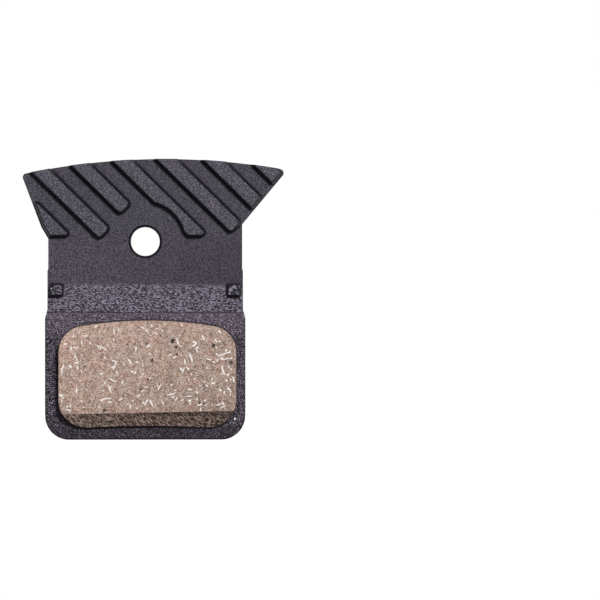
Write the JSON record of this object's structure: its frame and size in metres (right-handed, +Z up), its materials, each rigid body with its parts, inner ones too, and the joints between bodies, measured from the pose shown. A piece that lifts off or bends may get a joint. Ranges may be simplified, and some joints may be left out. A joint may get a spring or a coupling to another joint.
{
  "type": "bicycle disc brake pad",
  "caption": "Finned bicycle disc brake pad: a die-cast backing plate with slanted cooling fins, ribs and an axle bore, and a bonded friction block with a ground lower edge.",
  "frame": {"origin": "centre of the axle bore, halfway through the neck", "axes": "+X to the right as seen from the friction side, +Y from the rotor towards the back fins, +Z up from the friction block to the wings"},
  "size_m": [0.0326, 0.0093, 0.035],
  "materials": {
    "coated_casting": "die-cast light alloy with a matte near-black coat and a fine grain",
    "friction_compound": "dull tan resin compound, mottled, with short pale fibres"
  },
  "bodies": {
    "root": {"backing_plate": "coated_casting", "friction_block": "friction_compound"}
  },
  "joints": []
}
